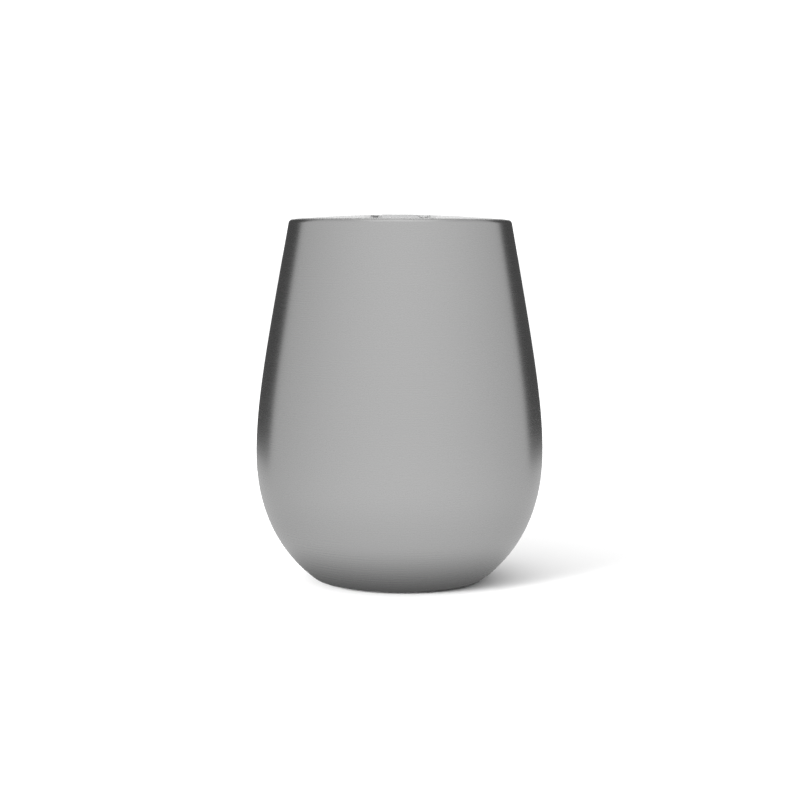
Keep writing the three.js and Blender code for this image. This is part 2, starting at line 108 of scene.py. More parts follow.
class Shader:
    """The node tree of one finish, which ends in one surface shader."""

    def __init__(self, name: str) -> None:
        """Starts a material with an empty node tree.

        Args:
            name: the finish's name.
        """
        self.material = bpy.data.materials.new(name)
        self.material.use_nodes = True
        self.tree = self.material.node_tree
        self.tree.nodes.clear()

    @staticmethod
    def socket_of(sockets: Any, key: str) -> Socket:
        """The socket with that identifier, or with that name, where _ stands for a space."""
        return next(s for s in sockets if key in (s.identifier, s.name) or key.replace("_", " ") == s.name)

    def node(self, kind: str, settings: dict[str, str] | None = None, **sockets: Any) -> Node:
        """Makes one node, with its settings before its sockets.

        Args:
            kind: the node's type.
            settings: attributes of the node.
            sockets: a value or a Wire for each input that isn't left alone.

        Returns:
            The new node.
        """
        made = self.tree.nodes.new(kind)
        for key, value in (settings or {}).items():
            setattr(made, key, value)
        for key, value in sockets.items():
            socket = self.socket_of(made.inputs, key)
            if isinstance(value, Wire):
                self.tree.links.new(value.socket, socket)
            else:
                socket.default_value = value
        return made

    def wire(self, output: str, kind: str, settings: dict[str, str] | None = None, **sockets: Any) -> Wire:
        """One output of a new node, which is made as node makes it."""
        return Wire(self, self.socket_of(self.node(kind, settings, **sockets).outputs, output))

    def maths(self, operation: str, *values: Wire | float) -> Wire:
        """The result of a Math node's operation on one value or two."""
        sockets = dict(zip(("Value", "Value_001"), values))
        return self.wire("Value", "ShaderNodeMath", {"operation": operation}, **sockets)

    def spot(self) -> Wire:
        """The object coordinates of a point, as one vector."""
        return self.wire("Object", "ShaderNodeTexCoord")

    def place(self) -> tuple[Wire, Wire, Wire]:
        """The three object coordinates of a point."""
        split = self.node("ShaderNodeSeparateXYZ", Vector=self.spot())
        return tuple(Wire(self, socket) for socket in split.outputs)

    def off_axis(self, x: Wire, y: Wire) -> Wire:
        """How far a point lies from the upright axis."""
        return self.maths("SQRT", x * x + y * y)

    def vector(self, x: Wire, y: Wire, z: Wire) -> Wire:
        """Three values as one vector."""
        return self.wire("Vector", "ShaderNodeCombineXYZ", X=x, Y=y, Z=z)

    def noise(self, scale: float, detail: float, where: Wire | None = None) -> Wire:
        """A pattern from 0 to 1, by its grains per metre, its finer layers and the coordinates it reads."""
        sockets = {"Vector": where or self.spot(), "Scale": scale, "Detail": detail}
        return self.wire("Fac", "ShaderNodeTexNoise", Roughness=NOISE_FALL, **sockets)

    def soft_step(self, value: Wire, low: float, high: float) -> Wire:
        """A soft step from 0, where a value is low, to 1, where it is high."""
        ends = {"From_Min": low, "From_Max": high}
        return self.wire("Result", "ShaderNodeMapRange", SOFT_STEP, Value=value, **ends)

    def blend(self, share: Wire, first: Colour, second: Colour) -> Wire:
        """A colour between two: the first where the share is 0, the second where it is 1."""
        ends = {"A_Color": (*first, 1.0), "B_Color": (*second, 1.0)}
        return self.wire("Result_Color", "ShaderNodeMix", COLOUR_MIX, Factor_Float=share, **ends)

    def grey(self, share: Wire, tone: float, spread: float) -> Wire:
        """A grey that lies at most a share of a tone, the spread, from that tone."""
        return self.blend(share, (tone * (1 - spread),) * 3, (tone * (1 + spread),) * 3)

    def relief(self, height: Wire, depth: float) -> Wire:
        """A normal that shows a fine relief from 0 to 1, whose whole depth is in metres."""
        return self.wire("Normal", "ShaderNodeBump", Strength=1.0, Distance=depth, Height=height)

    def surface(self, output: str = "BSDF", kind: str = PRINCIPLED, **sockets: Any) -> Material:
        """Ends the tree in a surface shader.

        Args:
            output: the name of the shader's output.
            kind: its node type.
            sockets: its inputs, as node takes them.

        Returns:
            The finished material.
        """
        self.node("ShaderNodeOutputMaterial", Surface=self.wire(output, kind, **sockets))
        return self.material


class Grain(Enum):
    """Which way the fine lines on a metal run: how far height and radius count from line to line."""

    # Round the axis, each line at one height.
    ROUND = (1.0, 0.0)
    # Round the middle of a flat face.
    RINGS = (0.0, 1.0)
    # Round the axis, down a wall and across its floor.
    BOWL = (1.4, 1.0)


@dataclass(frozen=True)
class BrushedSteel:
    """Stainless steel with fine turned or brushed lines."""

    name: str
    tone: float = 0.45
    roughness: float = 0.27
    grain: Grain = Grain.ROUND
    contrast: float = 0.026
    anisotropy: float = 0.5
    line_width: float = 0.00025
    line_length: float = 0.03
    relief: float = 0.0000007
    broad_scale: float = 0.16
    broad_share: float = 0.35
    cloud_scale: float = 45.0
    cloud_share: float = 0.5
    tone_spread: float = 0.5
    streak_rough: float = 0.1
    cloud_rough: float = 0.03
    line_turn: float = 0.25

    def material(self) -> Material:
        """Makes the steel: long streaks, finer lines between them, and faint clouding.

        Returns:
            The material.
        """
        shader = Shader(self.name)
        x, y, z = shader.place()
        upright, outward = self.grain.value
        across = z * upright + shader.off_axis(x, y) * outward
        stretch = self.line_width / self.line_length
        where = shader.vector(x * stretch, y * stretch, across)
        fine = shader.noise(1.0 / self.line_width, detail=3.0, where=where)
        broad = shader.noise(self.broad_scale / self.line_width, detail=2.0, where=where)
        cloud = shader.noise(self.cloud_scale, detail=3.0)
        streak = fine * (1 - self.broad_share) + broad * self.broad_share
        shade = streak.swing(self.contrast) + cloud.swing(self.contrast * self.cloud_share) + 0.5
        return shader.surface(
            Base_Color=shader.grey(shade, self.tone, self.tone_spread),
            Metallic=1.0,
            Roughness=streak.swing(self.streak_rough) + cloud.swing(self.cloud_rough) + self.roughness,
            Anisotropic=self.anisotropy,
            Anisotropic_Rotation=self.line_turn,
            Normal=shader.relief(fine, self.relief),
        )


@dataclass(frozen=True)
class PressedSteel:
    """Thin sheet as it leaves the press, with a grey bloom."""

    name: str
    tone: float = 0.4
    roughness: float = 0.42
    bloom_scale: float = 180.0
    bloom_spread: float = 0.18
    bloom_rough: float = 0.2
    tooth_scale: float = 2600.0
    tooth_rough: float = 0.1
    relief: float = 0.000004

    def material(self) -> Material:
        """Makes the sheet: a mottled bloom over a fine drawn texture.

        Returns:
            The material.
        """
        shader = Shader(self.name)
        bloom = shader.noise(self.bloom_scale, detail=4.0)
        tooth = shader.noise(self.tooth_scale, detail=2.0)
        return shader.surface(
            Base_Color=shader.grey(bloom, self.tone, self.bloom_spread),
            Metallic=1.0,
            Roughness=bloom.swing(self.bloom_rough) + tooth.swing(self.tooth_rough) + self.roughness,
            Normal=shader.relief(tooth, self.relief),
        )


@dataclass(frozen=True)
class ClearPlastic:
    """A clear or smoked moulding, with a texture on the part above a height where it has a grip."""

    name: str
    tint: Colour = (0.95, 0.955, 0.955)
    clearness: float = 1.0
    roughness: float = 0.06
    bend: float = 1.49
    flow_scale: float = 90.0
    flow_dim: float = 0.985
    rub_scale: float = 700.0
    rub_span: Span = (0.52, 0.75)
    rub_rough: float = 0.03
    grip_height: float = 1.0
    grip_edge: float = 0.0001
    grip_rough: float = 0.04
    grip_relief: float = 0.000004
    tooth_scale: float = 3200.0

    def material(self) -> Material:
        """Makes the plastic: a faint flow of the moulding, rub marks and the grip's texture.

        Returns:
            The material.
        """
        shader = Shader(self.name)
        _, _, height = shader.place()
        flow = shader.noise(self.flow_scale, detail=2.0)
        rub = shader.soft_step(shader.noise(self.rub_scale, detail=4.0), *self.rub_span)
        tooth = shader.noise(self.tooth_scale, detail=1.0)
        grip = shader.soft_step(height, self.grip_height, self.grip_height + self.grip_edge)
        return shader.surface(
            Base_Color=shader.blend(flow, tuple(c * self.flow_dim for c in self.tint), self.tint),
            Roughness=rub * self.rub_rough + grip * self.grip_rough + self.roughness,
            IOR=self.bend,
            Transmission_Weight=self.clearness,
            Normal=shader.relief(tooth * grip, self.grip_relief),
        )


@dataclass(frozen=True)
class Silicone:
    """Matt rubber with a fine moulded tooth and a little dust."""

    name: str
    tone: Colour = (0.02, 0.02, 0.022)
    dust: Colour = (0.07, 0.07, 0.07)
    roughness: float = 0.6
    glow: float = 0.0
    glow_reach: float = 0.002
    patch_scale: float = 220.0
    patch_span: Span = (0.5, 0.75)
    dust_share: float = 0.5
    dust_rough: float = 0.2
    tooth_scale: float = 3800.0
    tooth_rough: float = 0.18
    relief: float = 0.000012

    def material(self) -> Material:
        """Makes the rubber: a fine tooth, and dust that lies in patches.

        Returns:
            The material.
        """
        shader = Shader(self.name)
        patch = shader.noise(self.patch_scale, detail=4.0)
        tooth = shader.noise(self.tooth_scale, detail=1.5)
        dusty = shader.soft_step(patch, *self.patch_span) * self.dust_share
        return shader.surface(
            Base_Color=shader.blend(dusty, self.tone, self.dust),
            Roughness=tooth.swing(self.tooth_rough) + dusty * self.dust_rough + self.roughness,
            Subsurface_Weight=self.glow,
            Subsurface_Radius=(self.glow_reach,) * 3,
            Normal=shader.relief(tooth, self.relief),
        )


@dataclass(frozen=True)
class Grainy:
    """A dull or glazed small piece: a sintered pellet or a bead of solder glass."""

    name: str
    dark: Colour
    light: Colour
    roughness: float
    metallic: float
    grain: float
    grain_rough: float = 0.2
    grain_depth: float = 0.05

    def material(self) -> Material:
        """Makes the piece: dark and light grains with a matching relief.

        Returns:
            The material.
        """
        shader = Shader(self.name)
        grain = shader.noise(1.0 / self.grain, detail=4.0)
        return shader.surface(
            Base_Color=shader.blend(grain, self.dark, self.light),
            Metallic=self.metallic,
            Roughness=grain.swing(self.grain_rough) + self.roughness,
            Normal=shader.relief(grain, self.grain * self.grain_depth),
        )


# Shapes

# Points of a made shape that lie closer together than this are one point.
TOUCHING = 1e-7
# The same for a carved shape, before its edges are rounded and after.
WELD = 0.00003
FINE_WELD = WELD / 8
# Sharp edges of a carved shape that are shorter than this are drawn together.
SHORT_EDGE = 0.00015
# Faces of a carved shape that meet at less than this are one flat face.
FLAT_ANGLE = math.radians(0.05)
# Edges of a carved shape that turn by more than this are rounded.
EASED_ANGLE = math.radians(40)
# Edges that turn by more than this look sharp.
CREASE_ANGLE = math.radians(32)
# How many straight bits a rounding has, in a section, in a plan and on a carved edge.
SECTION_BITS = 6
PLAN_BITS = 8
EASE_BITS = 2
# A rounding that would end on the next point takes this share of its length.
SHORT_OF_NEXT = 0.98


def curve(start: Point, leave: Point, arrive: Point, end: Point, bits: int) -> list[Point]:
    """A smooth line in straight bits, which sets off towards one point and comes in from another."""
    knots = [Vector((radius, height, 0)) for radius, height in (start, leave, arrive, end)]
    return [(p.x, p.y) for p in interpolate_bezier(*knots, bits + 1)]


def set_in(line: list[Point], depth: float) -> list[Point]:
    """The other face of a wall.

    Args:
        line: one face, drawn upwards on the outside of the wall.
        depth: the wall's thickness.

    Returns:
        The line moved to its left by that thickness.
    """
    moved = []
    for i, (radius, height) in enumerate(line):
        before = line[max(i - 1, 0)]
        after = line[min(i + 1, len(line) - 1)]
        along = Vector((after[0] - before[0], after[1] - before[1])).normalized()
        moved.append((radius - along.y * depth, height + along.x * depth))
    return moved


def list_by_place(mesh: bpy.types.Mesh) -> None:
    """Lists a mesh's points and faces by their place, because welds and cuts list them anew in each run.

    Args:
        mesh: the mesh, which keeps its shape.
    """
    places = [tuple(v.co) for v in mesh.vertices]
    order = sorted(range(len(places)), key=places.__getitem__)
    rank = {old: new for new, old in enumerate(order)}
    loops = []
    for face in mesh.polygons:
        loop = [rank[i] for i in face.vertices]
        first = loop.index(min(loop))
        loops.append(loop[first:] + loop[:first])
    shape = bmesh.new()
    points = [shape.verts.new(places[i]) for i in order]
    for loop in sorted(loops):
        shape.faces.new([points[i] for i in loop])
    shape.to_mesh(mesh)
    shape.free()


def make_piece(shape: Shape, name: str) -> Piece:
    """Closes a shape's seams, faces it outwards and puts it in the scene.

    Args:
        shape: the shape, which is used up.
        name: the piece's name.

    Returns:
        The piece, at the origin.
    """
    bmesh.ops.remove_doubles(shape, verts=shape.verts, dist=TOUCHING)
    bmesh.ops.recalc_face_normals(shape, faces=shape.faces)
    mesh = bpy.data.meshes.new(name)
    shape.to_mesh(mesh)
    shape.free()
    list_by_place(mesh)
    piece = bpy.data.objects.new(name, mesh)
    bpy.context.scene.collection.objects.link(piece)
    return piece


def smooth(piece: Piece) -> None:
    """Shades a piece smoothly, with its flats kept flat.

    Args:
        piece: the piece.
    """
    piece.data.shade_smooth()
    piece.data.set_sharp_from_angle(angle=CREASE_ANGLE)
    even = piece.modifiers.new("even_normals", "WEIGHTED_NORMAL")
    even.keep_sharp = True


def round_off(shape: Shape, parts: list[Any], size: float, bits: int) -> None:
    """Rounds corners of a wire, or edges of a solid.

    Args:
        shape: the shape that is being made.
        parts: its corners, or its edges.
        size: how far from the corner or the edge the rounding begins.
        bits: how many straight bits it has.
    """
    kind = "VERTICES" if isinstance(parts[0], bmesh.types.BMVert) else "EDGES"
    arc = {"offset_type": "OFFSET", "profile": 0.5, "material": -1}
    bmesh.ops.bevel(shape, geom=parts, affect=kind, offset=size, segments=bits, **arc)


def turn(name: str, *corners: Corner, facets: int = 192) -> Piece:
    """Spins half of an outline about the axis into a closed piece.

    Args:
        name: the piece's name.
        corners: the outline's corners, in order. Each is a radius, a height and, for a rounded corner, how
            far from it the rounding begins.
        facets: how many the piece has round the axis.

    Returns:
        The piece.
    """
    shape = bmesh.new()
    points = [shape.verts.new((radius, 0, height)) for radius, height, *_ in corners]
    closing = points[:1] if corners[0][0] else []
    for first, second in zip(points, points[1:] + closing):
        shape.edges.new((first, second))
    rounded = [(point, corner[2]) for point, corner in zip(points, corners) if len(corner) > 2]
    for size in sorted({size for _, size in rounded}):
        round_off(shape, [point for point, own in rounded if own == size], size, SECTION_BITS)
    spun = {"geom": shape.verts[:] + shape.edges[:], "steps": facets, "use_merge": True}
    bmesh.ops.spin(shape, cent=(0, 0, 0), axis=(0, 0, 1), angle=math.tau, **spun)
    return make_piece(shape, name)


def pull(shape: Shape, way: Place) -> None:
    """Draws a shape's faces out into a solid, by a length along each axis."""
    drawn = bmesh.ops.extrude_face_region(shape, geom=shape.faces[:], use_keep_orig=True)["geom"]
    bmesh.ops.translate(shape, verts=[p for p in drawn if isinstance(p, bmesh.types.BMVert)], vec=way)


def raise_plan(plan: Shape, top: float, name: str) -> Piece:
    """Fills a closed wire in plan and raises it to a height.

    Args:
        plan: the wire, at the height where the piece begins.
        top: the height where it ends.
        name: the piece's name.

    Returns:
        The piece.
    """
    bmesh.ops.remove_doubles(plan, verts=plan.verts, dist=TOUCHING)
    bmesh.ops.contextual_create(plan, geom=plan.edges[:])
    pull(plan, (0, 0, top - min(v.co.z for v in plan.verts)))
    return make_piece(plan, name)


def both_sides(middle: float, half: list[Point]) -> list[Point]:
    """A section about a middle, from its right half's corners, each a step from the middle and a height."""
    return [(middle + x, z) for x, z in half] + [(middle - x, z) for x, z in half[::-1]]


def draw_out(section: list[Point], front: float, rear: float, name: str) -> Piece:
    """Draws a section in X and Z out along Y.

    Args:
        section: its corners, in order.
        front: where the piece begins.
        rear: where it ends.
        name: the piece's name.

    Returns:
        The piece.
    """
    shape = bmesh.new()
    shape.faces.new([shape.verts.new((x, front, z)) for x, z in section])
    pull(shape, (0, rear - front, 0))
    return make_piece(shape, name)


class Carve(Enum):
    """What a tool does to the piece that it meets."""

    JOIN = "UNION"
    TAKE = "DIFFERENCE"


def carve(piece: Piece, tool: Piece, how: Carve) -> None:
    """Joins a tool to a piece, or takes it away, and removes the tool.

    Args:
        piece: the piece, whose mesh is replaced.
        tool: the other shape.
        how: join or take away.
    """
    cut = piece.modifiers.new("carve", "BOOLEAN")
    cut.operation = how.value
    cut.solver = "EXACT"
    cut.object = tool
    bpy.context.view_layer.update()
    seen = piece.evaluated_get(bpy.context.evaluated_depsgraph_get())
    before = piece.data
    piece.data = bpy.data.meshes.new_from_object(seen)
    list_by_place(piece.data)
    piece.modifiers.clear()
    bpy.data.meshes.remove(before)
    bpy.data.objects.remove(tool)


def weld(shape: Shape, gap: float) -> None:
    """Joins points that lie closer together than a gap, and drops the faces that this empties."""
    bmesh.ops.remove_doubles(shape, verts=shape.verts, dist=gap)
    bmesh.ops.dissolve_degenerate(shape, edges=shape.edges, dist=gap)


def sharp_edges(shape: Shape) -> list[bmesh.types.BMEdge]:
    """The edges of a carved shape that are to be rounded."""
    return [e for e in shape.edges if e.is_manifold and e.calc_face_angle(0) > EASED_ANGLE]


def ease_edges(piece: Piece, width: float) -> None:
    """Welds the points that the cuts left close together, then rounds the piece's sharp edges.

    Args:
        piece: the piece, whose mesh is replaced.
        width: how wide the rounding is.
    """
    shape = bmesh.new()
    shape.from_mesh(piece.data)
    weld(shape, WELD)
    bmesh.ops.dissolve_limit(shape, angle_limit=FLAT_ANGLE, verts=shape.verts, edges=shape.edges)
    bmesh.ops.collapse(shape, edges=[e for e in sharp_edges(shape) if e.calc_length() < SHORT_EDGE])
    weld(shape, WELD)
    round_off(shape, sharp_edges(shape), width, EASE_BITS)
    weld(shape, FINE_WELD)
    shape.to_mesh(piece.data)
    shape.free()
    list_by_place(piece.data)


def paint(piece: Piece, finish: Material) -> None:
    """Gives a piece one finish in place of those it has."""
    piece.data.materials.clear()
    piece.data.materials.append(finish)


def dress(piece: Piece, finish: Material, body: str, slot: str, *nodes: str) -> None:
    """Smooths a new piece and gives it its finish and its place on the frame.

    Args:
        piece: the piece.
        finish: its material.
        body: the body that it moves with.
        slot: the record's material slot; not used.
        nodes: the frame's nodes that it stands for.
    """
    smooth(piece)
    paint(piece, finish)
    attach(piece, body)
    if nodes:
        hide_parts(*nodes)
    log.info("%s rides on %s and stands for %s", piece.name, body, ", ".join(nodes) or "no node")


def repaint(node: str, finish: Material) -> None:
    """Gives a node of the frame a better finish."""
    paint(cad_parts[node], finish)
    log.info("%s keeps its shape and gets %s", node, finish.name)


# Sub-assemblies


@dataclass
class Mouth:
    """Sizes that the body and the lid share at the mouth."""

    lip_height: float = 0.1118
    lip_radius: float = 0.0344
    lip_taper: float = math.radians(10.3)
    lip_round: float = 0.0014
    lip_crest: float = 0.0001
    crest_round: float = 0.00005
    countersink: float = 0.001
    neck_round: float = 0.0003
    hem_leg: float = 0.0012

    @property
    def wall_top(self) -> float:
        """Height where the lip's rounding begins."""
        return self.lip_height - self.lip_round * (1 - math.sin(self.lip_taper))

    @property
    def lip_centre(self) -> float:
        """Radius of the middle of the lip's rounding."""
        return self.lip_radius - self.lip_round * math.cos(self.lip_taper)

    @property
    def crest_inner(self) -> float:
        """Radius where the crest ends and the countersink begins."""
        return self.lip_centre - self.lip_crest

    @property
    def neck_radius(self) -> float:
        """Inside radius of the neck."""
        return self.crest_inner - self.countersink

    @property
    def hem_bottom(self) -> float:
        """Height where the folded lip ends inside the neck."""
        return self.lip_height - self.countersink - self.hem_leg


@dataclass
class Body:
    """The double wall: a brushed outer shell hemmed at the lip, and the cup inside it."""

    mouth: Mouth
    belly_radius: float = 0.0445
    belly_height: float = 0.0396
    belly_reach_up: float = 0.0159
    belly_reach_down: float = 0.0212
    lip_reach: float = 0.0386
    foot_radius: float = 0.0266
    foot_slope: float = math.radians(37.5)
    foot_reach: float = 0.0103
    foot_round: float = 0.0015
    foot_land: float = 0.0026
    foot_gap: float = 0.0006
    shell_wall: float = 0.0007
    liner_wall: float = 0.0006
    vacuum_gap: float = 0.004
    neck_depth: float = 0.012
    neck_reach: float = 0.02
    bowl_reach: float = 0.02
    floor_radius: float = 0.016
    floor_reach: float = 0.013
    floor_height: float = 0.0085
    weld_gap: float = 0.0002
    lower_bits: int = 44
    upper_bits: int = 56
    bowl_bits: int = 36
    shell_facets: int = 256
    shell_finish: BrushedSteel = BrushedSteel("brushed_steel")
    liner_finish: BrushedSteel = BrushedSteel(
        "polished_steel", tone=0.8, roughness=0.26, grain=Grain.BOWL, contrast=0.03, anisotropy=0.4
    )

    def up_foot(self, distance: float) -> Point:
        """A point on the straight rise from the foot's corner."""
        rise = distance * math.sin(self.foot_slope)
        return self.foot_radius + distance * math.cos(self.foot_slope), self.foot_gap + rise

    def outer_shell(self) -> Piece:
        """Turns the outer wall from the foot's flat ring to the hem inside the mouth.

        Returns:
            The shell.
        """
        mouth = self.mouth
        bend = self.foot_round * math.tan(self.foot_slope / 2)
        lower = curve(
            self.up_foot(bend),
            self.up_foot(self.foot_reach),
            (self.belly_radius, self.belly_height - self.belly_reach_down),
            (self.belly_radius, self.belly_height),
            self.lower_bits,
        )
        lean = (math.sin(mouth.lip_taper) * self.lip_reach, math.cos(mouth.lip_taper) * self.lip_reach)
        upper = curve(
            (self.belly_radius, self.belly_height),
            (self.belly_radius, self.belly_height + self.belly_reach_up),
            (mouth.lip_radius + lean[0], mouth.wall_top - lean[1]),
            (mouth.lip_radius, mouth.wall_top),
            self.upper_bits,
        )
        wall = lower + upper[1:]
        inside = [p for p in set_in(wall, self.shell_wall) if p[1] < mouth.hem_bottom]
        lip_bend = mouth.lip_round * math.tan((math.pi / 2 - mouth.lip_taper) / 2)
        opening = self.foot_radius - self.foot_land
        return turn(
            "tumbler_shell",
            (opening, self.foot_gap),
            (self.foot_radius, self.foot_gap, bend * SHORT_OF_NEXT),
            *wall,
            (mouth.lip_centre + lip_bend, mouth.lip_height, lip_bend * SHORT_OF_NEXT),
            (mouth.crest_inner, mouth.lip_height, mouth.crest_round),
            (mouth.neck_radius, mouth.lip_height - mouth.countersink, mouth.neck_round),
            (mouth.neck_radius, mouth.hem_bottom),
            (inside[-1][0], mouth.hem_bottom),
            *inside[::-1],
            (opening, self.foot_gap + self.shell_wall),
            facets=self.shell_facets,
        )

    def inner_liner(self) -> Piece:
        """Turns the cup: a flat floor, a bowl and a straight neck for the lid.

        Returns:
            The liner.
        """
        mouth = self.mouth
        outside = mouth.neck_radius + self.liner_wall
        bowl = self.belly_radius - self.shell_wall - self.vacuum_gap
        neck_end = mouth.lip_height - self.neck_depth
        neck_top = mouth.hem_bottom - self.weld_gap
        lower = curve(
            (self.floor_radius, self.floor_height),
            (self.floor_radius + self.floor_reach, self.floor_height),
            (bowl, self.belly_height - self.bowl_reach),
            (bowl, self.belly_height),
            self.bowl_bits,
        )
        upper = curve(
            (bowl, self.belly_height),
            (bowl, self.belly_height + self.bowl_reach),
            (outside, neck_end - self.neck_reach),
            (outside, neck_end),
            self.bowl_bits,
        )
        wall = lower + upper[1:]
        return turn(
            "tumbler_liner",
            (0, self.floor_height),
            *wall,
            (outside, neck_top),
            (mouth.neck_radius, neck_top),
            *set_in(wall, self.liner_wall)[::-1],
            (0, self.floor_height + self.liner_wall),
        )

    def build(self) -> None:
        """Makes and dresses both walls."""
        dress(self.outer_shell(), self.shell_finish.material(), "tumbler", "brushed_steel", "outer_shell")
        dress(self.inner_liner(), self.liner_finish.material(), "tumbler", "polished_steel", "inner_liner")


@dataclass
class Base:
    """The underside: a welded pan, the cover pressed into it, a ring of rubber, and what the vacuum needs."""

    pan_radius: float = 0.0238
    pan_wall: float = 0.0007
    pan_foot: float = 0.0006
    pan_under: float = 0.0034
    pan_round: float = 0.0016
    pan_rim_round: float = 0.0002
    dimple_radius: float = 0.0045
    dimple_rise: float = 0.001
    dimple_foot_round: float = 0.0004
    dimple_top_round: float = 0.0003
    port_radius: float = 0.0012
    cover_radius: float = 0.022
    cover_top: float = 0.0032
    cover_wall: float = 0.0006
    cover_rim_round: float = 0.00015
    face_radius: float = 0.0135
    face_drop: float = 0.0012
    face_round: float = 0.0006
    pad_radius: float = 0.0229
    pad_inner: float = 0.0149
    pad_top: float = 0.0024
    pad_edge: float = 0.0004
    pan_finish: PressedSteel = PressedSteel("pressed_steel")
    cover_finish: BrushedSteel = BrushedSteel(
        "base_steel", tone=0.5, roughness=0.28, grain=Grain.RINGS, contrast=0.16, line_width=0.0004
    )
    pad_finish: Silicone = Silicone("dark_silicone")
    seal_finish: Grainy = Grainy(
        "solder_glass",
        dark=(0.014, 0.016, 0.013),
        light=(0.04, 0.043, 0.036),
        roughness=0.22,
        metallic=0.0,
        grain=0.0006,
    )
    getter_finish: Grainy = Grainy(
        "getter_metal",
        dark=(0.04, 0.04, 0.042),
        light=(0.13, 0.13, 0.135),
        roughness=0.75,
        metallic=0.7,
        grain=0.0002,
    )

    def pan(self) -> Piece:
        """Turns the pan that closes the vacuum, with the dimple round its port.

        Returns:
            The pan.
        """
        under = self.pan_under
        top = under + self.pan_wall
        inside = self.pan_radius - self.pan_wall
        slope_end = self.dimple_radius + self.dimple_rise
        return turn(
            "base_pan",
            (inside, self.pan_foot, self.pan_rim_round),
            (self.pan_radius, self.pan_foot, self.pan_rim_round),
            (self.pan_radius, top, self.pan_round),
            (slope_end, top, self.dimple_foot_round),
            (self.dimple_radius, top + self.dimple_rise, self.dimple_top_round),
            (self.port_radius, top + self.dimple_rise),
            (self.port_radius, under + self.dimple_rise),
            (self.dimple_radius, under + self.dimple_rise, self.dimple_top_round),
            (slope_end, under, self.dimple_foot_round),
            (inside, under, self.pan_round - self.pan_wall),
        )

    def cover(self) -> Piece:
        """Turns the cover, whose round face is pressed down towards the table.

        Returns:
            The cover.
        """
        under = self.cover_top - self.cover_wall
        face = under - self.face_drop
        shoulder = self.face_radius + self.face_drop
        inner_round = self.face_round / 2
        return turn(
            "base_disc",
            (0, face),
            (self.face_radius, face, self.face_round),
            (shoulder, under, inner_round),
            (self.cover_radius, under, self.cover_rim_round),
            (self.cover_radius, self.cover_top, self.cover_rim_round),
            (shoulder, self.cover_top, self.face_round),
            (self.face_radius, face + self.cover_wall, inner_round),
            (0, face + self.cover_wall),
        )

    def pad(self) -> Piece:
        """Turns the ring of rubber that the tumbler stands on.

        Returns:
            The ring.
        """
        return turn(
            "foot_ring",
            (self.pad_inner, 0, self.pad_edge),
            (self.pad_radius, 0, self.pad_edge),
            (self.pad_radius, self.pad_top),
            (self.pad_inner, self.pad_top),
        )

    def build(self) -> None:
        """Makes and dresses the underside, and repaints what is inside the vacuum."""
        pressed = self.pan_finish.material()
        dress(self.pan(), pressed, "tumbler", "pressed_steel", "base_plate")
        dress(self.cover(), self.cover_finish.material(), "tumbler", "base_steel", "base_cover")
        dress(self.pad(), self.pad_finish.material(), "tumbler", "dark_silicone", "foot_pad")
        repaint("vacuum_seal", self.seal_finish.material())
        repaint("getter", self.getter_finish.material())
        repaint("getter_clip", pressed)


@dataclass
class SlideTrack:
    """Sizes that the lid and its slider share. Heights are above the lip, and front is towards -Y."""

    reach: float = 0.028923
    half_width: float = 0.00895
    rear: float = 0.008302
    corner: float = 0.002
    depth: float = 0.0013
    wall: float = 0.0014
    rail_offset: float = 0.0071
    rail_stem: float = 0.0008
    rail_cap: float = 0.0025
    rail_front: float = -0.018698
    cap_under: float = 0.0006
    cap_top: float = 0.0011
    sip_front: float = -0.026698
    sip_rear: float = -0.021198
    sip_half: float = 0.0052
    sip_corner: float = 0.0016
    fit: float = 0.0003
    front_bits: int = 16

    def plan(self, half: float, reach: float, rear: float, corner: float, height: float) -> Shape:
        """A box in plan with an arc about the lid's middle for its front and rounded corners behind.

        Args:
            half: half of its width.
            reach: radius of the front's arc.
            rear: where it ends.
            corner: rounding of the corners behind.
            height: the height of the plan.

        Returns:
            The plan's closed wire.
        """
        side = math.asin(half / reach)
        shape = bmesh.new()
        start = shape.verts.new((-half, -reach * math.cos(side), height))
        arc = {"cent": (0, 0, height), "axis": (0, 0, 1), "angle": 2 * side}
        bmesh.ops.spin(shape, geom=[start], steps=self.front_bits, **arc)
        end = max(shape.verts, key=lambda v: v.co.x)
        right = shape.verts.new((half, rear, height))
        left = shape.verts.new((-half, rear, height))
        for first, second in ((end, right), (right, left), (left, start)):
            shape.edges.new((first, second))
        round_off(shape, [left, right], corner, PLAN_BITS)
        return shape


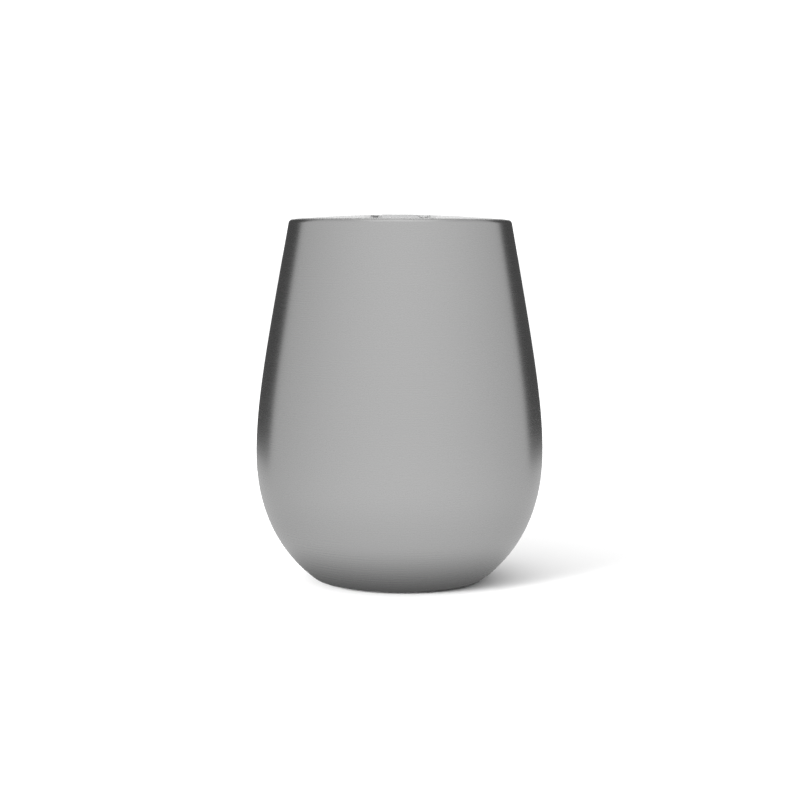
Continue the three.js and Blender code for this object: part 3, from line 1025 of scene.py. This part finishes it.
@dataclass
class Lid:
    """The clear press-in lid: a low dome and a plug in one moulding, cut for the slide, and its seal."""

    mouth: Mouth
    track: SlideTrack
    crown: float = 0.00143
    edge: float = 0.0001
    edge_round: float = 0.0001
    land: float = 0.0003
    land_round: float = 0.00008
    wall: float = 0.0018
    seat: float = 0.0003
    plug_depth: float = 0.01
    plug_fit: float = 0.0004
    plug_wall: float = 0.0032
    plug_round: float = 0.0006
    hollow_round: float = 0.001
    groove_drop: float = 0.0034
    groove_height: float = 0.0038
    groove_depth: float = 0.0016
    groove_round: float = 0.0002
    seal_gap: float = 0.0002
    seal_wall: float = 0.0009
    seal_fit: float = 0.00015
    seal_round: float = 0.0001
    fin_height: float = 0.0009
    fin_root_round: float = 0.0002
    fin_tip_round: float = 0.00012
    vent_radius: float = 0.0011
    vent_offset: float = 0.02
    vent_facets: int = 32
    dome_bits: int = 24
    hollow_bits: int = 20
    cut_margin: float = 0.001
    cut_round: float = 0.00005
    stop_width: float = 0.0019
    stop_foot: float = 0.65
    stop_height: float = 0.00075
    stop_length: float = 0.0008
    stop_drop: float = 0.0001
    stop_shift: float = 0.0003
    stop_round: float = 0.00012
    finish: ClearPlastic = ClearPlastic("clear_plastic")
    seal_finish: Silicone = Silicone(
        "pale_silicone", tone=(0.6, 0.61, 0.6), dust=(0.5, 0.5, 0.49), roughness=0.5, glow=0.3
    )
    # The stop's dark tone also paints the shade at the left rail's front end.
    stop_and_shade_finish: Silicone = Silicone("stop_rubber_and_shade", tone=(0.06, 0.06, 0.061), dust=(0.1, 0.1, 0.1))

    @property
    def plug_radius(self) -> float:
        """Outside radius of the plug."""
        return self.mouth.neck_radius - self.plug_fit

    @property
    def flange_radius(self) -> float:
        """Outside radius of the dome's edge."""
        return self.mouth.crest_inner - self.seat - (self.land - self.edge)

    def dome(self, radius: float, drop: float, bits: int) -> list[Point]:
        """The dome's line from a radius in to the axis.

        Args:
            radius: where it begins.
            drop: how far it lies under the lid's top.
            bits: how many straight bits it has.

        Returns:
            Its points.
        """
        middle = self.mouth.lip_height + self.edge + self.crown - drop
        fall = self.crown * (radius / self.flange_radius) ** 2
        start = (radius, middle - fall)
        return curve(start, (radius * 2 / 3, middle - fall / 3), (radius / 3, middle), (0, middle), bits)

    def envelope(self) -> Piece:
        """Turns the outside: the plug, the groove for the seal, the flange's cone and the dome.

        Returns:
            The lid, still solid.
        """
        lip = self.mouth.lip_height
        plug = self.plug_radius
        bottom = lip - self.plug_depth
        groove = plug - self.groove_depth
        groove_top = lip - self.groove_drop
        groove_end = lip - self.groove_drop - self.groove_height
        drop = self.land - self.edge
        cone_end = drop + self.flange_radius - plug
        return turn(
            "lid_moulding",
            (0, bottom),
            (plug, bottom, self.plug_round),
            (plug, groove_end, self.groove_round),
            (groove, groove_end),
            (groove, groove_top),
            (plug, groove_top, self.groove_round),
            (plug, lip - cone_end, self.groove_round),
            (self.flange_radius, lip - drop, self.land_round),
            (self.flange_radius, lip + self.edge, self.edge_round),
            *self.dome(self.flange_radius, 0, self.dome_bits)[1:],
        )

    def hollow(self) -> Piece:
        """Turns the space under the dome, inside the plug.

        Returns:
            The space, as a tool.
        """
        inner = self.plug_radius - self.plug_wall
        below = self.mouth.lip_height - self.plug_depth - self.cut_margin
        line = self.dome(inner, self.wall, self.hollow_bits)
        corner = (*line[0], self.hollow_round)
        return turn("lid_hollow", (0, below), (inner, below), corner, *line[2:])

    def rail(self, side: int) -> Piece:
        """Draws out one rail, a T in section.

        Args:
            side: -1 or 1, for the left or right rail.

        Returns:
            The rail.
        """
        track = self.track
        lip = self.mouth.lip_height
        stem = track.rail_stem / 2
        cap = track.rail_cap / 2
        under = lip + track.cap_under
        foot = lip - track.depth - track.wall / 2
        half = [(stem, foot), (stem, under), (cap, under), (cap, lip + track.cap_top)]
        section = both_sides(side * track.rail_offset, half)
        return draw_out(section, track.rail_front, track.rear + track.wall / 2, "rail")

    def sip_tool(self) -> Piece:
        """The sip opening's shape.

        Returns:
            A tool that runs through the track's floor.
        """
        track = self.track
        low = self.mouth.lip_height - track.depth - track.wall - self.cut_margin
        size = (2 * track.sip_half, track.sip_rear - track.sip_front, self.mouth.lip_height - low)
        middle = (0, (track.sip_front + track.sip_rear) / 2, (self.mouth.lip_height + low) / 2)
        box = Matrix.Translation(middle) @ Matrix.Diagonal((*size, 1))
        shape = bmesh.new()
        bmesh.ops.create_cube(shape, size=1.0, matrix=box)
        upright = [e for e in shape.edges if abs(e.verts[0].co.z - e.verts[1].co.z) > size[2] / 2]
        round_off(shape, upright, track.sip_corner, PLAN_BITS)
        return make_piece(shape, "sip_tool")

    def vent_tool(self) -> Piece:
        """The air hole's shape.

        Returns:
            A tool that runs through the dome.
        """
        shape = bmesh.new()
        ends = {"radius1": self.vent_radius, "radius2": self.vent_radius, "cap_ends": True}
        bmesh.ops.create_cone(shape, segments=self.vent_facets, depth=2 * self.plug_depth, **ends)
        bmesh.ops.translate(shape, verts=shape.verts, vec=(0, self.vent_offset, self.mouth.lip_height))
        return make_piece(shape, "vent_tool")

    def moulding(self) -> Piece:
        """Carves the lid out of its outside, with the tub, the track, the rails and both holes.

        Returns:
            The lid.
        """
        track = self.track
        lip = self.mouth.lip_height
        above = lip + self.edge + self.crown + self.cut_margin
        tub_plan = track.plan(
            track.half_width + track.wall,
            track.reach + track.wall,
            track.rear + track.wall,
            track.corner + track.wall,
            lip - track.depth - track.wall,
        )
        hollow = self.hollow()
        carve(hollow, raise_plan(tub_plan, above, "tub"), Carve.TAKE)
        lid = self.envelope()
        carve(lid, hollow, Carve.TAKE)
        slot_plan = track.plan(track.half_width, track.reach, track.rear, track.corner, lip - track.depth)
        carve(lid, raise_plan(slot_plan, above, "slot"), Carve.TAKE)
        for side in (-1, 1):
            carve(lid, self.rail(side), Carve.JOIN)
        carve(lid, self.sip_tool(), Carve.TAKE)
        carve(lid, self.vent_tool(), Carve.TAKE)
        ease_edges(lid, self.cut_round)
        return lid

    def seal(self) -> Piece:
        """Turns the seal: a band with two fins that wipe the neck.

        Returns:
            The seal.
        """
        inner = self.plug_radius - self.groove_depth + self.seal_gap
        band = inner + self.seal_wall
        tip = self.mouth.neck_radius - self.seal_fit
        top = self.mouth.lip_height - self.groove_drop - self.seal_gap
        bottom = self.mouth.lip_height - self.groove_drop - self.groove_height + self.seal_gap
        return turn(
            "lid_seal",
            (inner, bottom, self.seal_round),
            (band, bottom),
            (tip, bottom + self.fin_height / 2, self.fin_tip_round),
            (band, bottom + self.fin_height, self.fin_root_round),
            (band, top - self.fin_height, self.fin_root_round),
            (tip, top - self.fin_height / 2, self.fin_tip_round),
            (band, top),
            (inner, top, self.seal_round),
        )

    def rail_stop(self) -> Piece:
        """Draws out the small rubber stop on the front end of the left rail, wider at its top; its dark tone
        is partly painted shade.

        Returns:
            The stop.
        """
        track = self.track
        top = self.mouth.lip_height + track.cap_top - self.stop_drop
        wide = self.stop_width / 2
        half = [(wide * self.stop_foot, top - self.stop_height), (wide, top)]
        section = both_sides(-track.rail_offset - self.stop_shift, half)
        stop = draw_out(section, track.rail_front - self.stop_length, track.rail_front, "rail_stop")
        ease_edges(stop, self.stop_round)
        return stop

    def build(self) -> None:
        """Makes and dresses the lid, its seal and the rail's stop."""
        moulding = self.moulding()
        stop = self.rail_stop()
        dress(moulding, self.finish.material(), "lid", "clear_plastic", "lid_body")
        dress(self.seal(), self.seal_finish.material(), "lid", "pale_silicone", "lid_gasket")
        dress(stop, self.stop_and_shade_finish.material(), "lid", "dark_silicone")
        # The clear lid lets light through to the slider and the cup. Its stop is too small to shade them.
        moulding.visible_shadow = False
        stop.visible_shadow = False


@dataclass
class Slider:
    """The slide closure's moving piece: a tongue under the rails' caps and a ribbed grip between them."""

    mouth: Mouth
    track: SlideTrack
    length: float = 0.028
    thickness: float = 0.0013
    grip_length: float = 0.014
    grip_setback: float = 0.002
    grip_proud: float = 0.00032
    rib_count: int = 4
    rib_height: float = 0.0003
    edge_round: float = 0.0001
    finish: ClearPlastic = ClearPlastic(
        "slider_plastic", tint=(0.285, 0.287, 0.288), clearness=0.3, roughness=0.2, grip_height=0.1129
    )

    def tongue(self) -> Piece:
        """Raises the tongue, whose front end follows the track's.

        Returns:
            The tongue.
        """
        track = self.track
        reach = track.reach - track.fit
        half = track.rail_offset - track.rail_stem / 2 - track.fit
        under = self.mouth.lip_height - track.depth + track.fit
        plan = track.plan(half, reach, self.length - reach, track.corner, under)
        return raise_plan(plan, under + self.thickness, "lid_slide")

    def grip(self) -> Piece:
        """Draws out the grip across the slider, with ridges for the thumb.

        Returns:
            The grip.
        """
        track = self.track
        half = track.rail_offset - track.rail_cap / 2 - track.fit
        rear = self.length - track.reach + track.fit - self.grip_setback
        front = rear - self.grip_length
        top = self.mouth.lip_height + track.cap_top + self.grip_proud
        low = self.mouth.lip_height - track.depth + track.fit + self.thickness / 2
        pitch = self.grip_length / self.rib_count
        line = [(front, low), (rear, low)]
        for i in range(self.rib_count):
            end = rear - i * pitch
            line += [(end, top - self.rib_height), (end - pitch / 4, top), (end - 3 * pitch / 4, top)]
        line.append((front, top - self.rib_height))
        block = draw_out(line, -half, half, "grip")
        # The line runs along Y, so X and Y change places.
        block.data.transform(Matrix.Diagonal((-1, 1, 1, 1)) @ Matrix.Rotation(math.pi / 2, 4, "Z"))
        block.data.flip_normals()
        return block

    def build(self) -> None:
        """Makes and dresses the slider."""
        slider = self.tongue()
        carve(slider, self.grip(), Carve.JOIN)
        ease_edges(slider, self.edge_round)
        dress(slider, self.finish.material(), "slider", "slider_plastic", "lid_slider")


# Studio


@dataclass
class Studio:
    """A pale floor under a white sky, a low key light from the left, and the camera.

    A light tent and a ground card shine only into the steel's reflections and through the lid; the card holds
    painted shade.
    """

    camera_place: Place = (0.0001, -0.5455, 0.10985)
    camera_dip: float = math.radians(5.65)
    camera_roll: float = math.radians(0.2)
    lens: float = 79.25
    sensor: float = 36.0
    sky: float = 1.385
    floor_half: float = 6.0
    floor_drop: float = 0.00005
    floor_tone: float = 0.8
    floor_spread: float = 0.01
    floor_scale: float = 3.0
    floor_roughness: float = 0.9
    key_place: Place = (-0.64, -0.58, 0.25)
    key_aim: Place = (0, 0, 0.03)
    key_size: float = 0.38
    key_power: float = 25.0
    tent_radius: float = 0.8
    tent_foot: float = 0.0001
    tent_facets: int = 64
    tent_middle: float = 0.8
    tent_fall: float = 0.19
    card_front: Span = (-0.545, -0.465)
    card_back: Span = (-0.985, -0.965)
    card_top: Span = (0.55, 0.8)
    card_dark: float = 0.085
    card_foot: Span = (0.21, 0.47)
    back_glow: float = 0.3
    box_half: Span = (0.34, 0.4)
    box_blur: float = 0.15
    box_glow: float = 0.36
    # Painted shade on the ground card: its glow under the belly, how far out that shade reaches, and a dimmer
    # glow near the tumbler.
    painted_ground_shade: float = 0.03
    ground_near: float = 0.88
    ground_far: float = 1.02
    painted_shade_reach: Span = (0.018, 0.05)
    ground_rise: Span = (0.035, 0.12)

    def floor(self) -> None:
        """Lays the floor."""
        shape = bmesh.new()
        bmesh.ops.create_grid(shape, x_segments=1, y_segments=1, size=self.floor_half)
        bmesh.ops.translate(shape, verts=shape.verts, vec=(0, 0, -self.floor_drop))
        floor = make_piece(shape, "floor")
        shader = Shader("floor_white")
        cloud = shader.noise(self.floor_scale, detail=2.0)
        tone = shader.grey(cloud, self.floor_tone, self.floor_spread)
        paint(floor, shader.surface(Base_Color=tone, Roughness=self.floor_roughness))
        floor.visible_glossy = False

    @staticmethod
    def only_reflected(card: Piece, shader: Shader, glow: Wire) -> None:
        """Makes a card of the studio shine, for what the steel reflects and the lid bends alone.

        Args:
            card: the card.
            shader: its shader.
            glow: how bright it is from place to place.
        """
        light = shader.vector(glow, glow, glow)
        paint(card, shader.surface("Emission", "ShaderNodeEmission", Color=light))
        card.visible_camera = False
        card.visible_diffuse = False
        card.visible_shadow = False

    def glow_round(self, shader: Shader, x: Wire, y: Wire) -> tuple[Wire, Wire]:
        """How the tent shines all round.

        Args:
            shader: the card's shader.
            x: the first object coordinate.
            y: the second.

        Returns:
            Where the two dark cards stand, from 0 to 1, and the glow between them.
        """
        ahead = (y * -1.0) / shader.off_axis(x, y)
        behind = 1 - shader.soft_step(ahead, *self.card_back)
        card = (1 - shader.soft_step(ahead, *self.card_front)) * (1 - behind)
        return card, ahead * self.tent_fall + self.tent_middle + behind * self.back_glow

    def under_box(self, shader: Shader, off: Wire, half: float) -> Wire:
        """1 under the light box at the tent's top and 0 beside it, by the tangent of the angle off it."""
        return 1 - shader.soft_step(off, half * (1 - self.box_blur), half * (1 + self.box_blur))

    def tent(self) -> None:
        """Hangs the tent: bright in front, dimmer to the sides, with a dark card on each side behind."""
        shape = bmesh.new()
        facets = {"u_segments": self.tent_facets, "v_segments": self.tent_facets // 2}
        bmesh.ops.create_uvsphere(shape, radius=self.tent_radius, **facets)
        foot = {"plane_co": (0, 0, self.tent_foot), "plane_no": (0, 0, 1)}
        whole = shape.verts[:] + shape.edges[:] + shape.faces[:]
        bmesh.ops.bisect_plane(shape, geom=whole, clear_inner=True, **foot)
        shader = Shader("tent_light")
        x, y, z = shader.place()
        card, glow = self.glow_round(shader, x, y)
        card = card * (1 - shader.soft_step(z / self.tent_radius, *self.card_top))
        box = self.under_box(shader, shader.maths("ABSOLUTE", x) / z, self.box_half[0])
        box = box * self.under_box(shader, shader.maths("ABSOLUTE", y) / z, self.box_half[1])
        glow = glow * (1 - card) + card * self.card_dark + box * self.box_glow
        self.only_reflected(make_piece(shape, "light_tent"), shader, glow)

    def ground(self) -> None:
        """Lays the card that the steel reflects in place of the floor, with painted shade: dark under the
        belly, dimmer near it.
        """
        shape = bmesh.new()
        bmesh.ops.create_circle(shape, cap_ends=True, segments=self.tent_facets, radius=self.tent_radius)
        shader = Shader("ground_light")
        x, y, _ = shader.place()
        away = shader.off_axis(x, y)
        card, glow = self.glow_round(shader, x, y)
        card = card * shader.soft_step(away, *self.card_foot)
        # Painted shade of the floor under the belly and near the tumbler, fading out to the lit card.
        lit = shader.soft_step(away, *self.painted_shade_reach)
        rise = shader.soft_step(away, *self.ground_rise)
        shine = rise * (self.ground_far - self.ground_near) + self.ground_near
        glow = glow * (1 - card) * shine + card * self.card_dark
        glow = glow * lit + (1 - lit) * self.painted_ground_shade
        self.only_reflected(make_piece(shape, "ground_card"), shader, glow)

    def light(self) -> None:
        """Sets the sky and the key light."""
        world = bpy.data.worlds.new("studio_sky")
        world.use_nodes = True
        sky = world.node_tree.nodes["Background"]
        sky.inputs["Color"].default_value = (1, 1, 1, 1)
        sky.inputs["Strength"].default_value = self.sky
        scene = bpy.context.scene
        scene.world = world
        scene.view_settings.view_transform = "Standard"
        scene.cycles.caustics_reflective = False
        lamp = bpy.data.lights.new("key", "AREA")
        lamp.energy = self.key_power
        lamp.size = self.key_size
        key = bpy.data.objects.new("key", lamp)
        aim = Vector(self.key_aim) - Vector(self.key_place)
        facing = aim.to_track_quat("-Z", "Y").to_matrix().to_4x4()
        key.matrix_world = Matrix.Translation(self.key_place) @ facing
        key.visible_glossy = False
        key.visible_transmission = False
        scene.collection.objects.link(key)

    def camera(self) -> None:
        """Stands the camera in front, level with the lip."""
        eye = bpy.data.cameras.new("camera")
        eye.lens = self.lens
        eye.sensor_width = self.sensor
        camera = bpy.data.objects.new("camera", eye)
        dip = Matrix.Rotation(math.pi / 2 - self.camera_dip, 4, "X")
        roll = Matrix.Rotation(self.camera_roll, 4, "Z")
        camera.matrix_world = Matrix.Translation(self.camera_place) @ dip @ roll
        bpy.context.scene.collection.objects.link(camera)
        bpy.context.scene.camera = camera

    def build(self) -> None:
        """Sets up the whole studio."""
        self.floor()
        self.tent()
        self.ground()
        self.light()
        self.camera()


def main() -> None:
    """Builds the studio and the tumbler, piece by piece."""
    logging.basicConfig(level=logging.INFO, format="%(name)s: %(message)s")
    mouth = Mouth()
    track = SlideTrack()
    Studio().build()
    Body(mouth).build()
    Base().build()
    Lid(mouth, track).build()
    Slider(mouth, track).build()


if __name__ == "__main__":
    main()
